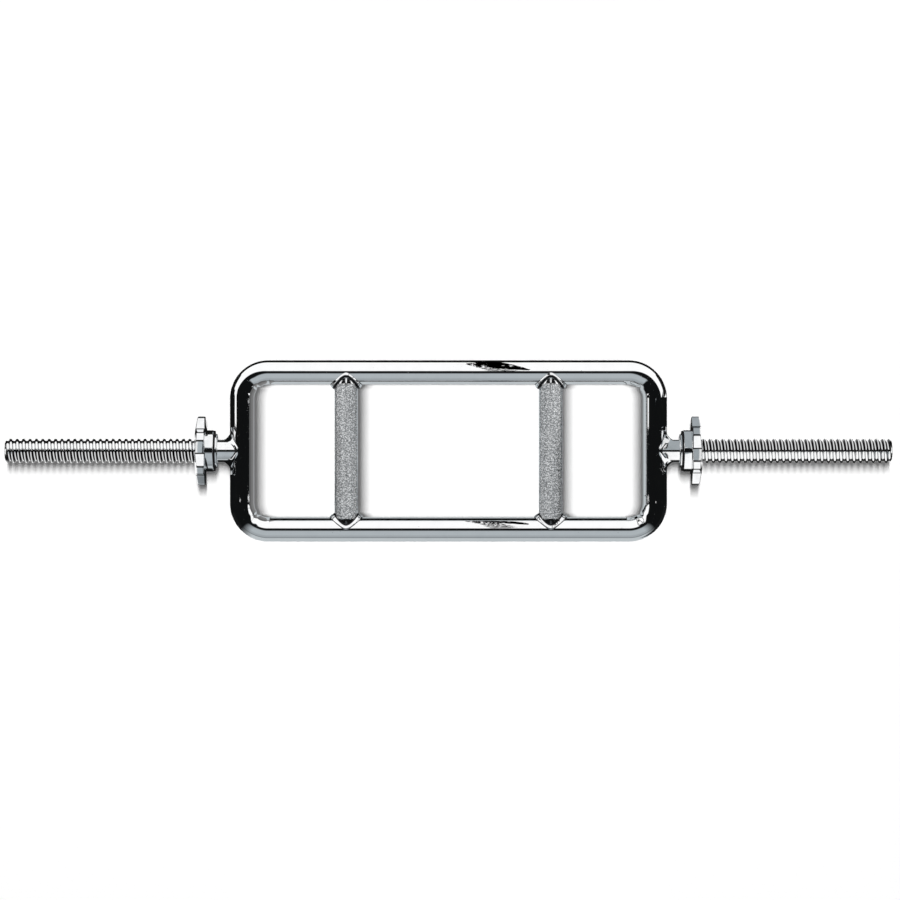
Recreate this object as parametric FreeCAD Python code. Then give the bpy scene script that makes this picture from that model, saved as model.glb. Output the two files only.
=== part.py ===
import FreeCAD, Part
import math
import os

from FreeCAD import Vector

# A triceps bar: a loop of round steel bar with two knurled handles across it, a threaded end
# on each side for the weight plates, and a star nut with a rubber ring on each end.
# Millimetres. The loop lies flat in the XY plane, the threaded ends lie along X, and the
# origin is the middle of the bar. The right half (+X) is modelled, and the left half is the
# same parts turned half a turn about Z, so that both threads are right-handed.

# Whole bar, from one end face to the other
overall_length = 880.0

# Loop: round bar bent to a rounded rectangle, outside sizes
loop_length = 434.0
loop_width = 180.0
loop_bar_diameter = 24.0
bend_radius = 26.0
butt_weld_width = 3.0

# Handles across the loop
handle_diameter = 23.5
handle_spacing = 203.0

# Threaded ends: plain neck, then a rolled thread that stands proud of the neck
neck_diameter = 22.0
thread_major_diameter = 24.0
thread_minor_diameter = 20.0
thread_pitch = 6.35
thread_crest_width = 1.7
thread_root_width = 1.7
thread_root_overlap = 0.4
end_chamfer_length = 2.2
end_chamfer_depth = 2.8

# Weld beads round each joint: legs are measured from the line where the two bars meet to the
# bead's toes, beside the joint and on its crown, and a negative bulge is a hollow bead
handle_bead_leg = 4.5
handle_bead_crown_leg = 3.0
handle_bead_bulge = 0.6
handle_bead_crown_bulge = 0.7
end_bead_leg = 6.5
end_bead_crown_leg = 2.5
end_bead_bulge = -1.2
end_bead_crown_bulge = 0.5
bead_toe_sink = 0.25
bead_core_depth = 4.0
bead_stations = 9

# Star nut: six-pointed plate, round hub and a nose that carries the rubber ring
star_tooth_count = 6
star_diameter = 68.6
star_valley_depth = 7.8
star_tip_width = 9.0
star_thickness = 10.0
star_outer_draft = 2.6
star_flat_diameter = 42.0
star_valley_fillet = 2.5
star_tip_fillet = 1.2
star_rest_angle = 54.8
hub_diameter = 41.0
hub_length = 8.3
hub_rim_fillet = 0.8
nose_diameter = 33.5
nose_proud = 2.0
nose_fillet = 1.2
mouth_diameter = 25.0
mouth_depth = 4.0
outer_mouth_chamfer = 1.0

# Rubber ring round the nose
ring_diameter = 40.0
ring_thickness = 1.6

# Where the seated ring stands, from the loop's side to the face that meets the plate
ring_standoff = 14.3

# Clearances, the overrun of cuts, and how far an edge may be from where it is looked for
thread_clearance = 0.25
seat_clearance = 0.3
ring_radial_clearance = 0.25
ring_axial_clearance = 0.1
cut_overrun = 1.0
edge_match = 0.3

# Worked out from the sizes above
loop_bar_radius = loop_bar_diameter / 2
rail_y = loop_width / 2 - loop_bar_radius
side_x = loop_length / 2 - loop_bar_radius
handle_x = handle_spacing / 2
end_face_x = overall_length / 2
ring_face_x = loop_length / 2 + ring_standoff
hub_face_x = ring_face_x + ring_thickness + ring_axial_clearance
nose_face_x = ring_face_x - nose_proud
star_inner_x = hub_face_x + hub_length
star_outer_x = star_inner_x + star_thickness
mouth_bottom_x = nose_face_x + mouth_depth
shoulder_x = mouth_bottom_x - seat_clearance

ORIGIN = Vector(0, 0, 0)
AXIS_X = Vector(1, 0, 0)
AXIS_Y = Vector(0, 1, 0)
AXIS_Z = Vector(0, 0, 1)
HALF_TURN = 180
QUARTER_TURN = 90


def along_x(radius, start, end):
    """A round bar on the X axis, from one x to another."""
    return Part.makeCylinder(radius, end - start, Vector(start, 0, 0), AXIS_X)


def to_left(shape):
    """The same piece on the left side: half a turn about Z."""
    turned = shape.copy()
    turned.rotate(ORIGIN, AXIS_Z, HALF_TURN)
    return turned


def moved(shape, x, y, turn=0):
    """A copy turned about Z by an angle in degrees, then moved to x, y."""
    placed = shape.copy()
    placed.rotate(ORIGIN, AXIS_Z, turn)
    placed.translate(Vector(x, y, 0))
    return placed


def revolved(points):
    """A solid of revolution about X from its outline, given as (x, radius) points."""
    corners = [Vector(x, radius, 0) for x, radius in points]
    face = Part.Face(Part.makePolygon(corners + corners[:1]))
    return face.revolve(ORIGIN, AXIS_X, 2 * HALF_TURN)


def loop_half():
    """The right half of the loop: rail, bend, side, bend, rail."""
    start_x = butt_weld_width / 2
    bend_x = side_x - bend_radius
    bend_y = rail_y - bend_radius
    diagonal = bend_radius * math.cos(math.radians(HALF_TURN / 4))
    rear_middle = Vector(bend_x + diagonal, bend_y + diagonal, 0)
    front_middle = Vector(bend_x + diagonal, -bend_y - diagonal, 0)
    rear_rail_end = Vector(bend_x, rail_y, 0)
    rear_side_end = Vector(side_x, bend_y, 0)
    front_side_end = Vector(side_x, -bend_y, 0)
    front_rail_end = Vector(bend_x, -rail_y, 0)
    path = Part.Wire(
        [
            Part.makeLine(Vector(start_x, rail_y, 0), rear_rail_end),
            Part.Arc(rear_rail_end, rear_middle, rear_side_end).toShape(),
            Part.makeLine(rear_side_end, front_side_end),
            Part.Arc(front_side_end, front_middle, front_rail_end).toShape(),
            Part.makeLine(front_rail_end, Vector(start_x, -rail_y, 0)),
        ]
    )
    section = Part.makeCircle(loop_bar_radius, Vector(start_x, rail_y, 0), AXIS_X)
    return path.makePipeShell([Part.Wire([section])], True, False)


def butt_weld(y):
    """The ground weld that closes the loop in the middle of a rail."""
    weld = along_x(loop_bar_radius, -butt_weld_width / 2, butt_weld_width / 2)
    return moved(weld, 0, y)


def rail(y):
    """A straight cutter with the loop bar's size, along the rail at this y."""
    return moved(along_x(loop_bar_radius, -side_x, side_x), 0, y)


def side():
    """A straight cutter with the loop bar's size, along the right side of the loop."""
    return Part.makeCylinder(loop_bar_radius, 2 * rail_y, Vector(side_x, -rail_y, 0), AXIS_Y)


def handle():
    """A handle, coped at both ends to sit on the rails."""
    bar = Part.makeCylinder(handle_diameter / 2, 2 * rail_y, Vector(0, -rail_y, 0), AXIS_Y)
    return bar.cut(rail(rail_y)).cut(rail(-rail_y))


def weld_bead(bar_radius, leg, crown_leg, bulge, crown_bulge):
    """The bead round a bar that stands on the loop bar along +Y, with the loop bar along X.

    Half of it is a loft from under the joint, round its side, to its crown. Each station is
    an arc from a toe on the loop bar to a toe on the standing bar, closed by two lines through
    a point inside both bars, and the bars are then cut away. Sizes blend from the side to the
    crown by cos^2 of the station's angle, so the bead runs in a smooth arch over the joint.
    """
    apex_y = math.sqrt(loop_bar_radius**2 - bar_radius**2)
    crown_turn = math.atan2(bar_radius, apex_y) + crown_leg / loop_bar_radius
    toe_radius = loop_bar_radius - bead_toe_sink
    core_y = loop_bar_radius - bead_core_depth
    stations = []
    for step in range(bead_stations):
        share = 2 * step / (bead_stations - 1) - 1
        angle = share * math.pi / 2
        cosine = math.cos(angle)
        sine = math.sin(angle)
        side_share = cosine**2
        turn = share * crown_turn
        here_leg = crown_leg + (leg - crown_leg) * side_share
        here_bulge = crown_bulge + (bulge - crown_bulge) * side_share + bead_toe_sink
        joint_y = apex_y + (loop_bar_radius - apex_y) * side_share
        loop_toe = Vector(
            (bar_radius + leg) * cosine,
            toe_radius * math.cos(turn),
            toe_radius * math.sin(turn),
        )
        bar_toe = Vector(
            (bar_radius - bead_toe_sink) * cosine,
            joint_y + here_leg,
            (bar_radius - bead_toe_sink) * sine,
        )
        outward = Vector(cosine, math.cos(turn), sine + math.sin(turn)).normalize()
        crest = (loop_toe + bar_toe) * (1 / 2) + outward * here_bulge
        core = Vector(
            (bar_radius - bead_core_depth) * cosine,
            apex_y + (core_y - apex_y) * side_share,
            (bar_radius - bead_core_depth) * sine,
        )
        edges = [
            Part.Arc(loop_toe, crest, bar_toe).toShape(),
            Part.makeLine(bar_toe, core),
            Part.makeLine(core, loop_toe),
        ]
        stations.append(Part.Wire(edges))
    half = Part.makeLoft(stations, True, False)
    reach = 2 * (bar_radius + leg)
    loop_bar = along_x(loop_bar_radius, -reach, reach)
    bar = Part.makeCylinder(bar_radius, reach, ORIGIN, AXIS_Y)
    half = half.cut(loop_bar).cut(bar)
    return half.fuse(half.mirror(ORIGIN, AXIS_X))


def helix_turns(radius, start, turns):
    """A helix about Z as one edge per turn, from z = start."""
    edges = []
    for turn in range(turns):
        helix = Part.makeHelix(thread_pitch, thread_pitch, radius)
        helix.translate(Vector(0, 0, start + turn * thread_pitch))
        edges.append(helix.Edges[0])
    return edges


def thread_ridge(start, turns, grow=0.0):
    """The thread's ridge along X: a trapezium carried along a helix, one face per side and turn.

    grow widens the ridge on its flanks and crest, for the space that the nut leaves for it.
    """
    root_radius = thread_minor_diameter / 2
    crest_radius = thread_major_diameter / 2
    half_crest = thread_crest_width / 2
    half_base = (thread_pitch - thread_root_width) / 2
    flank_slope = (half_base - half_crest) / (crest_radius - root_radius)
    low_radius = root_radius - thread_root_overlap
    half_low = half_base + flank_slope * thread_root_overlap
    flank_grow = grow * math.hypot(1, flank_slope)
    corners = [
        (low_radius, -half_low - flank_grow),
        (crest_radius + grow, -half_crest - flank_grow + flank_slope * grow),
        (crest_radius + grow, half_crest + flank_grow - flank_slope * grow),
        (low_radius, half_low + flank_grow),
    ]
    helices = [helix_turns(radius, offset, turns) for radius, offset in corners]
    faces = []
    for one, other in zip(helices, helices[1:] + helices[:1]):
        faces += [Part.makeRuledSurface(a, b) for a, b in zip(one, other)]
    first = [edges[0].Vertexes[0].Point for edges in helices]
    last = [edges[-1].Vertexes[1].Point for edges in helices]
    faces += [Part.Face(Part.makePolygon(ends + ends[:1])) for ends in (first, last)]
    ridge = Part.Solid(Part.makeShell(faces))
    if ridge.Volume < 0:
        ridge.reverse()
    ridge.rotate(ORIGIN, AXIS_Y, QUARTER_TURN)
    ridge.translate(Vector(start, 0, 0))
    return ridge


def thread_start_x():
    """Where the helix is counted from: one turn inside the shoulder."""
    return shoulder_x - thread_pitch


def threaded_end():
    """The right end: a coped neck, and the threaded bar with a chamfered tip."""
    neck = along_x(neck_diameter / 2, side_x, shoulder_x).cut(side())
    chamfer_x = end_face_x - end_chamfer_length
    major_radius = thread_major_diameter / 2
    tip_radius = major_radius - end_chamfer_depth
    outside = major_radius + cut_overrun
    slope = end_chamfer_depth / end_chamfer_length
    envelope = revolved(
        [
            (shoulder_x, 0),
            (shoulder_x, outside),
            (chamfer_x - cut_overrun / slope, outside),
            (end_face_x, tip_radius),
            (end_face_x, 0),
        ]
    )
    turns = math.ceil((end_face_x - thread_start_x()) / thread_pitch) + 1
    core = along_x(thread_minor_diameter / 2, shoulder_x, end_face_x)
    ridge = thread_ridge(thread_start_x(), turns)
    return core.common(envelope).fuse(ridge.common(envelope)).fuse(neck)


def edges_along_x(solid, low_radius, high_radius):
    """The straight edges parallel to X whose distance from the axis is between two radii."""
    found = []
    for edge in solid.Edges:
        middle = edge.CenterOfMass
        if abs(edge.tangentAt(edge.FirstParameter).dot(AXIS_X)) < math.cos(math.pi / 4):
            continue
        if low_radius < math.hypot(middle.y, middle.z) < high_radius:
            found.append(edge)
    return found


def star_plate():
    """The six-pointed plate, thinner towards its tips on the outboard side."""
    tip_radius = star_diameter / 2
    valley_radius = tip_radius - star_valley_depth
    tooth_angle = 2 * math.pi / star_tooth_count
    half_tip = math.asin(star_tip_width / star_diameter)
    corners = []
    for tooth in range(star_tooth_count):
        middle = tooth * tooth_angle
        for radius, angle in (
            (tip_radius, middle - half_tip),
            (tip_radius, middle + half_tip),
            (valley_radius, middle + tooth_angle / 2),
        ):
            corners.append(Vector(star_inner_x, radius * math.cos(angle), radius * math.sin(angle)))
    outline = Part.Face(Part.makePolygon(corners + corners[:1]))
    plate = outline.extrude(AXIS_X * star_thickness)
    valley_edges = edges_along_x(plate, valley_radius - cut_overrun, valley_radius + cut_overrun)
    plate = plate.makeFillet(star_valley_fillet, valley_edges)
    tip_edges = edges_along_x(plate, tip_radius - cut_overrun, tip_radius + cut_overrun)
    plate = plate.makeFillet(star_tip_fillet, tip_edges)
    lens = revolved(
        [
            (star_inner_x, 0),
            (star_inner_x, tip_radius + cut_overrun),
            (star_outer_x - star_outer_draft, tip_radius + cut_overrun),
            (star_outer_x, star_flat_diameter / 2),
            (star_outer_x, 0),
        ]
    )
    plate = plate.common(lens)
    plate.rotate(ORIGIN, AXIS_X, star_rest_angle)
    return plate


def rim_edges(solid, x, radius):
    """The circular edges of a turned solid at this x and radius."""
    found = []
    for edge in solid.Edges:
        box = edge.BoundBox
        same_x = max(abs(box.XMin - x), abs(box.XMax - x)) < edge_match
        if same_x and abs(box.YMax - radius) < edge_match:
            found.append(edge)
    return found


def star_hub():
    """The round hub inboard of the star, and the nose that the rubber ring sits on."""
    hub_radius = hub_diameter / 2
    nose_radius = nose_diameter / 2
    hub = revolved(
        [
            (nose_face_x, 0),
            (nose_face_x, nose_radius),
            (hub_face_x, nose_radius),
            (hub_face_x, hub_radius),
            (star_inner_x + cut_overrun, hub_radius),
            (star_inner_x + cut_overrun, 0),
        ]
    )
    hub = hub.makeFillet(hub_rim_fillet, rim_edges(hub, hub_face_x, hub_radius))
    return hub.makeFillet(nose_fillet, rim_edges(hub, nose_face_x, nose_radius))


def star_nut():
    """The right star nut, seated, with its thread cut clear of the bar's thread."""
    bore_radius = thread_minor_diameter / 2 + thread_clearance
    crest_radius = thread_major_diameter / 2 + thread_clearance
    mouth_radius = mouth_diameter / 2
    first_x = nose_face_x - cut_overrun
    last_x = star_outer_x + cut_overrun
    chamfer_x = star_outer_x - outer_mouth_chamfer
    bore = revolved(
        [
            (first_x, 0),
            (first_x, mouth_radius),
            (mouth_bottom_x, mouth_radius),
            (mouth_bottom_x, bore_radius),
            (chamfer_x - crest_radius + bore_radius, bore_radius),
            (last_x, crest_radius + outer_mouth_chamfer + cut_overrun),
            (last_x, 0),
        ]
    )
    turns = math.ceil((last_x - thread_start_x()) / thread_pitch) + 1
    groove = thread_ridge(thread_start_x(), turns, thread_clearance)
    blank = star_plate().fuse(star_hub())
    return blank.cut(bore).cut(groove)


def rubber_ring():
    """The right rubber ring, seated on the nose against the hub."""
    inner_radius = nose_diameter / 2 + ring_radial_clearance
    outer_x = ring_face_x + ring_thickness
    ring = along_x(ring_diameter / 2, ring_face_x, outer_x)
    hole = along_x(inner_radius, ring_face_x - cut_overrun, outer_x + cut_overrun)
    return ring.cut(hole)


def save(name, shape):
    """Write one piece as parts/NAME.step, as a single solid."""
    solid = shape.removeSplitter()
    if len(solid.Solids) != 1 or not solid.isValid():
        raise RuntimeError(f"{name} is not one sound solid")
    solid.Solids[0].exportStep(f"parts/{name}.step")
    print(f"{name}: {solid.Volume:.0f} mm3, {len(solid.Faces)} faces")


def main():
    os.makedirs("parts", exist_ok=True)
    half = loop_half()
    save("loop_half_right", half)
    save("loop_half_left", to_left(half))
    save("rear_rail_weld", butt_weld(rail_y))
    save("front_rail_weld", butt_weld(-rail_y))

    grip = handle()
    bead = weld_bead(
        handle_diameter / 2,
        handle_bead_leg,
        handle_bead_crown_leg,
        handle_bead_bulge,
        handle_bead_crown_bulge,
    )
    for side_name, x in (("left", -handle_x), ("right", handle_x)):
        save(f"{side_name}_handle", moved(grip, x, 0))
        save(f"{side_name}_handle_rear_weld", moved(bead, x, rail_y, HALF_TURN))
        save(f"{side_name}_handle_front_weld", moved(bead, x, -rail_y))

    end_bead = weld_bead(
        neck_diameter / 2,
        end_bead_leg,
        end_bead_crown_leg,
        end_bead_bulge,
        end_bead_crown_bulge,
    )
    right_pieces = {
        "threaded_end": threaded_end(),
        "end_weld": moved(end_bead, side_x, 0, -QUARTER_TURN),
        "star_nut": star_nut(),
        "rubber_ring": rubber_ring(),
    }
    for name, piece in right_pieces.items():
        save(f"right_{name}", piece)
        save(f"left_{name}", to_left(piece))


main()
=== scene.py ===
# %% [markdown]
# # Dressing a triceps bar
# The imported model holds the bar's solids and its moving bodies. This script gives each piece the
# surface that a chromed steel bar really has: bright plate on drawn round bar, a diamond knurl on
# the handles, weld beads with their ripples, a rolled thread and two cast star nuts.
# Every new piece is a surface worked out with numpy, in the same frame as the model.

# %% Load the model
import math

import bmesh
import bpy
import numpy as np
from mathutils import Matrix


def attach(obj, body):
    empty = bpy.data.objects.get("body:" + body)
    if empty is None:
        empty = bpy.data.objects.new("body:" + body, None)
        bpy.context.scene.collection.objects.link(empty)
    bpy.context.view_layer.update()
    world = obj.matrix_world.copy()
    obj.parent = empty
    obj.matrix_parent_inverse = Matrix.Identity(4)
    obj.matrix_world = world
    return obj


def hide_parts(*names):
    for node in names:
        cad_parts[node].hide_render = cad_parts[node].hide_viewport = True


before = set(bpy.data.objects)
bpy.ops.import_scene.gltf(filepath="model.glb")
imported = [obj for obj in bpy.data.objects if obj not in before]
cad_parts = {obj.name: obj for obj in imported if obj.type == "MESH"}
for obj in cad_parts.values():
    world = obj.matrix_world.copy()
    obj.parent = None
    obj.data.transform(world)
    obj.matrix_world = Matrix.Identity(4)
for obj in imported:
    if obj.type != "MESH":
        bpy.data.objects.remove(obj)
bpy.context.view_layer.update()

# %% [markdown]
# ## Sizes
# The pieces sit exactly on the model's solids, so the same driving sizes are named once here, in
# millimetres. The left end is the right end turned half a turn about Z, as both threads are
# right-handed.

# %% Sizes of the bar, in millimetres
loop_bar_radius = 12.0
rail_y = 78.0
side_x = 205.0
bend_radius = 26.0
butt_weld_width = 3.0
handle_radius = 11.75
handle_x = 101.5
neck_radius = 11.0
root_radius = 10.0
crest_radius = 12.0
thread_pitch = 6.35
thread_start_x = 226.65
shoulder_x = 233.0
end_face_x = 440.0
tip_radius = 9.2
chamfer_length = 2.2
metres_per_millimetre = 0.001

# %% [markdown]
# ## From arrays to meshes
# A surface is an array of points with a row index and a column index. Neighbouring points make
# quads, and the last column joins the first. A screw thread needs one more idea: its rows climb
# by one pitch in a turn, so the last column joins the first one some rows further on. Rows that
# are squeezed to a point or to an edge are merged, which closes poles and caps.


# %% Mesh helpers
merge_distance = 1e-7
shortest_edge = 1e-8


def sheet_faces(rows, columns, shift=0):
    """Quads of a grid whose last column joins the first one, shift rows further on."""
    index = np.arange(rows * columns).reshape(rows, columns)
    joined = np.concatenate([index[: rows - shift], index[shift:, :1]], axis=1)
    corners = (joined[:-1, :-1], joined[:-1, 1:], joined[1:, 1:], joined[1:, :-1])
    return np.stack(corners, axis=-1).reshape(-1, 4)


def split_across_valleys(faces, rows, columns):
    """Each quad cut in two triangles along the diagonal whose row and column add up to even."""
    even = (np.add.outer(np.arange(rows - 1), np.arange(columns)) % 2 == 0).ravel()
    a, b, c, d = faces.T
    one = np.where(even, (a, b, c), (a, b, d))
    two = np.where(even, (a, c, d), (b, c, d))
    return np.concatenate([one.T, two.T])


def signed_volume(points, faces):
    """Volume inside closed faces, three times over: positive when they face outwards."""
    corners = [points[faces[:, corner]] for corner in range(faces.shape[1])]
    fans = zip(corners[1:-1], corners[2:])
    return sum(float(np.einsum("ij,ij->i", corners[0], np.cross(b, c)).sum()) for b, c in fans)


def in_scene(name, data):
    """A new object that holds the data, in the scene."""
    thing = bpy.data.objects.new(name, data)
    bpy.context.scene.collection.objects.link(thing)
    return thing


def make_piece(name, patches, sharp_angle=35.0, masks=None, faceted=False):
    """One closed mesh from patches, each (points, shift), with points[row, column] in mm.

    The masks become the depth_and_painted_shade attribute: depth, and where dark lines of painted shade go. A
    faceted piece is cut in triangles across its valleys, and an edge is sharp where its two faces turn by
    more than the sharp angle.
    """
    clouds = [points.reshape(-1, 3) for points, _ in patches]
    starts = np.cumsum([0] + [len(cloud) for cloud in clouds[:-1]])
    points = np.concatenate(clouds)
    sheets = [sheet_faces(*grid.shape[:2], shift) for grid, shift in patches]
    if faceted:
        sheets = [split_across_valleys(sheet, *grid.shape[:2]) for sheet, (grid, _) in zip(sheets, patches)]
    faces = np.concatenate([sheet + start for sheet, start in zip(sheets, starts)])
    if signed_volume(points, faces) < 0:
        faces = faces[:, ::-1]
    mesh = bpy.data.meshes.new(name)
    mesh.from_pydata((points * metres_per_millimetre).tolist(), [], faces.tolist())
    if masks is not None:
        depth_and_painted_shade = np.concatenate([mask.ravel() for mask in masks]).astype(np.float32)
        mesh.attributes.new("depth_and_painted_shade", "FLOAT", "POINT").data.foreach_set("value", depth_and_painted_shade)
    mesh.polygons.foreach_set("use_smooth", np.ones(len(faces), bool))
    work = bmesh.new()
    work.from_mesh(mesh)
    bmesh.ops.remove_doubles(work, verts=work.verts, dist=merge_distance)
    bmesh.ops.dissolve_degenerate(work, edges=work.edges, dist=shortest_edge)
    work.to_mesh(mesh)
    work.free()
    mesh.set_sharp_from_angle(angle=math.radians(sharp_angle))
    piece = in_scene(name, mesh)
    triangles = sum(len(p.vertices) - 2 for p in mesh.polygons)
    print(f"{name}: {triangles} triangles")
    return piece


def dress(piece, body, slot, material, *nodes):
    """The piece rides on its body, stands for its model nodes and wears its material."""
    piece.data.materials.append(material)
    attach(piece, body)
    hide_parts(*nodes)


def turned_about_x(points, angle):
    """The points turned about the X axis, from +Y towards +Z."""
    cosine, sine = math.cos(angle), math.sin(angle)
    x, y, z = points[..., 0], points[..., 1], points[..., 2]
    return np.stack([x, y * cosine - z * sine, y * sine + z * cosine], axis=-1)


def to_left(points):
    """The points turned half a turn about Z, from the right end to the left end."""
    return points * np.array([-1.0, -1.0, 1.0])


def angles_around(count):
    """Evenly spaced angles for a full turn."""
    return np.linspace(0, 2 * np.pi, count, endpoint=False)


# %% [markdown]
# ## Plated steel
# Chrome plate is almost a mirror, and what makes it look real is what breaks the mirror: a
# slow waviness from drawing and bending the bar, hair-fine marks from handling, and small pits
# under the plate. Each effect is one node group with named inputs, and each material uses it
# with its own values. The groups put out masks and heights only, and the shader stays in the
# material.


# %% Node helpers
def add_node(tree, kind, inputs=None, **settings):
    """A node with its settings, and its inputs given as values or as sockets to link."""
    node = tree.nodes.new(kind)
    for name, value in settings.items():
        setattr(node, name, value)
    for name, value in (inputs or {}).items():
        if isinstance(value, bpy.types.NodeSocket):
            tree.links.new(value, node.inputs[name])
        else:
            node.inputs[name].default_value = value
    return node


def math_node(tree, operation, first, second=0.5, third=0.5, clamp=False):
    """One arithmetic step, and its result."""
    inputs = {0: first, 1: second, 2: third}
    return add_node(tree, "ShaderNodeMath", inputs, operation=operation, use_clamp=clamp).outputs[0]


def noise(tree, vector, scale, detail=3.0, roughness=0.55):
    """Noise from 0 to 1."""
    inputs = {"Vector": vector, "Scale": scale, "Detail": detail, "Roughness": roughness}
    return add_node(tree, "ShaderNodeTexNoise", inputs).outputs["Fac"]


def stretched(tree, vector, scale):
    """Coordinates scaled by a different amount along each axis."""
    inputs = {"Vector": vector, "Scale": scale}
    return add_node(tree, "ShaderNodeMapping", inputs).outputs["Vector"]


def ramp(tree, value, low, high, start=0.0, end=1.0):
    """A straight ramp of a value from low to high, clamped at both ends."""
    inputs = {0: value, 1: low, 2: high, 3: start, 4: end}
    return add_node(tree, "ShaderNodeMapRange", inputs, clamp=True).outputs[0]


def chained(tree, operation, *values):
    """One arithmetic step carried through several values."""
    result = values[0]
    for value in values[1:]:
        result = math_node(tree, operation, result, value)
    return result


def times(tree, *values):
    """The product of several values."""
    return chained(tree, "MULTIPLY", *values)


def largest(tree, *values):
    """The largest of several values, which for masks is where any of them is."""
    return chained(tree, "MAXIMUM", *values)


def opposite(tree, mask):
    """1 where the mask is 0, and 0 where it is 1."""
    return math_node(tree, "SUBTRACT", 1.0, mask)


def mixed_colour(tree, share, first, second):
    """Two colours mixed: the first where the share is 0, the second where it is 1."""
    inputs = {0: share, 6: first, 7: second}
    return add_node(tree, "ShaderNodeMix", inputs, data_type="RGBA").outputs[2]


def surface_material(name):
    """A new material, its node tree, its shader and the piece's own coordinates."""
    material = bpy.data.materials.new(name)
    material.use_nodes = True
    tree = material.node_tree
    place = add_node(tree, "ShaderNodeTexCoord").outputs["Object"]
    return material, tree, tree.nodes["Principled BSDF"], place


def roughen(tree, shader, height, distance):
    """The shader's normal follows the height."""
    bump = add_node(tree, "ShaderNodeBump", {"Height": height, "Strength": 1.0, "Distance": distance})
    tree.links.new(bump.outputs["Normal"], shader.inputs["Normal"])


def blank_material(name):
    """A new material and its empty node tree."""
    material = bpy.data.materials.new(name)
    material.use_nodes = True
    material.node_tree.nodes.clear()
    return material, material.node_tree


def new_group(name, inputs, outputs):
    """An empty node group with named sockets, and its input and output nodes."""
    group = bpy.data.node_groups.new(name, "ShaderNodeTree")
    for socket, kind, value in inputs:
        made = group.interface.new_socket(name=socket, in_out="INPUT", socket_type=kind)
        if value is not None:
            made.default_value = value
    for socket, kind in outputs:
        group.interface.new_socket(name=socket, in_out="OUTPUT", socket_type=kind)
    return group, group.nodes.new("NodeGroupInput"), group.nodes.new("NodeGroupOutput")


# %% [markdown]
# ### Handling marks, pits and waviness
# Marks are noise stretched along the bar's length, so they run the way that plates, racks and
# cloths rub it. Pits are the rare high spots of a fine noise. Waviness is a slow noise.

# %% The plating group
FLOAT = "NodeSocketFloat"
mark_stretch = (0.06, 1.0, 1.0)
pit_sharpness = 9.0
haze_scale = 60.0
plating_wear, wear_in, wear_out = new_group(
    "plating_wear",
    [
        ("Vector", "NodeSocketVector", None),
        ("Mark scale", FLOAT, 900.0),
        ("Pit scale", FLOAT, 700.0),
        ("Pit level", FLOAT, 0.72),
        ("Wave scale", FLOAT, 28.0),
    ],
    [("Marks", FLOAT), ("Pits", FLOAT), ("Waves", FLOAT), ("Haze", FLOAT)],
)
across = stretched(plating_wear, wear_in.outputs["Vector"], mark_stretch)
marks = noise(plating_wear, across, wear_in.outputs["Mark scale"], 2.0, 0.7)
pit_noise = noise(plating_wear, wear_in.outputs["Vector"], wear_in.outputs["Pit scale"], 2.0, 0.5)
pits = math_node(plating_wear, "SUBTRACT", pit_noise, wear_in.outputs["Pit level"])
pits = math_node(plating_wear, "MULTIPLY", pits, pit_sharpness, clamp=True)
waves = noise(plating_wear, wear_in.outputs["Vector"], wear_in.outputs["Wave scale"], 2.0, 0.4)
haze_noise = noise(plating_wear, wear_in.outputs["Vector"], haze_scale, 5.0, 0.65)
haze = ramp(plating_wear, haze_noise, 0.45, 0.75)
for socket, value in (("Marks", marks), ("Pits", pits), ("Waves", waves), ("Haze", haze)):
    plating_wear.links.new(value, wear_out.inputs[socket])


# %% [markdown]
# ### One maker for all the plated finishes
# Every plated material is the same layer of chrome over a different ground, so one function
# makes them: bright and dull colours, the roughness of each, and how strongly marks, pits and
# waves disturb the surface. Where a piece has a depth mask, from 0 in a groove to 1 on a crest,
# the grooves take the dull colour as painted shade. The same mask is 0 along the weld toes, the
# thread's flanks and the star's corners, where it paints dark lines of shade, and 2 on the plain
# ground beside the knurl, which has no grain. Haze and pits add real dullness on top.


# %% Plated materials
haze_share = 0.15
grain_start, grain_full = 0.6, 0.45
grain_until, grain_gone = 1.2, 1.6


def plated(name, bright, dull_and_shade, roughness, marks, pits, waves, pit_level=0.72, grooves=None, speckle=None):
    """A plated finish. The roughness runs from its bright places to its dull ones.

    Grooves is the mask value up to which the dull colour reaches as painted shade, and speckle the scale of a
    grain that fades out where the mask rises above that of the crests.
    """
    material, tree, shader, place = surface_material(name)
    shader.inputs["Metallic"].default_value = 1.0
    wear = add_node(tree, "ShaderNodeGroup", node_tree=plating_wear)
    tree.links.new(place, wear.inputs["Vector"])
    wear.inputs["Pit level"].default_value = pit_level
    dullness_and_painted_shade = times(tree, wear.outputs["Haze"], haze_share)
    if grooves is not None:
        # Painted shade: the dull colour where the mask is low.
        depth_and_painted_shade = add_node(tree, "ShaderNodeAttribute", attribute_name="depth_and_painted_shade").outputs["Fac"]
        groove = ramp(tree, depth_and_painted_shade, 0.0, grooves, 1.0, 0.0)
        dullness_and_painted_shade = largest(tree, groove, dullness_and_painted_shade)
    dullness_and_painted_shade = largest(tree, dullness_and_painted_shade, wear.outputs["Pits"])
    if speckle is not None:
        grain = ramp(tree, noise(tree, place, speckle, 1.0, 0.5), grain_start, grain_full)
        on_knurl = ramp(tree, depth_and_painted_shade, grain_until, grain_gone, 1.0, 0.0)
        dullness_and_painted_shade = largest(tree, dullness_and_painted_shade, times(tree, grain, on_knurl))
    colour = mixed_colour(tree, dullness_and_painted_shade, (*bright, 1), (*dull_and_shade, 1))
    tree.links.new(colour, shader.inputs["Base Color"])
    tree.links.new(ramp(tree, dullness_and_painted_shade, 0.0, 1.0, *roughness), shader.inputs["Roughness"])
    height = times(tree, wear.outputs["Marks"], marks)
    height = math_node(tree, "MULTIPLY_ADD", wear.outputs["Waves"], waves, height)
    height = math_node(tree, "MULTIPLY_ADD", wear.outputs["Pits"], -pits, height)
    roughen(tree, shader, height, metres_per_millimetre)
    return material


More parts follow.
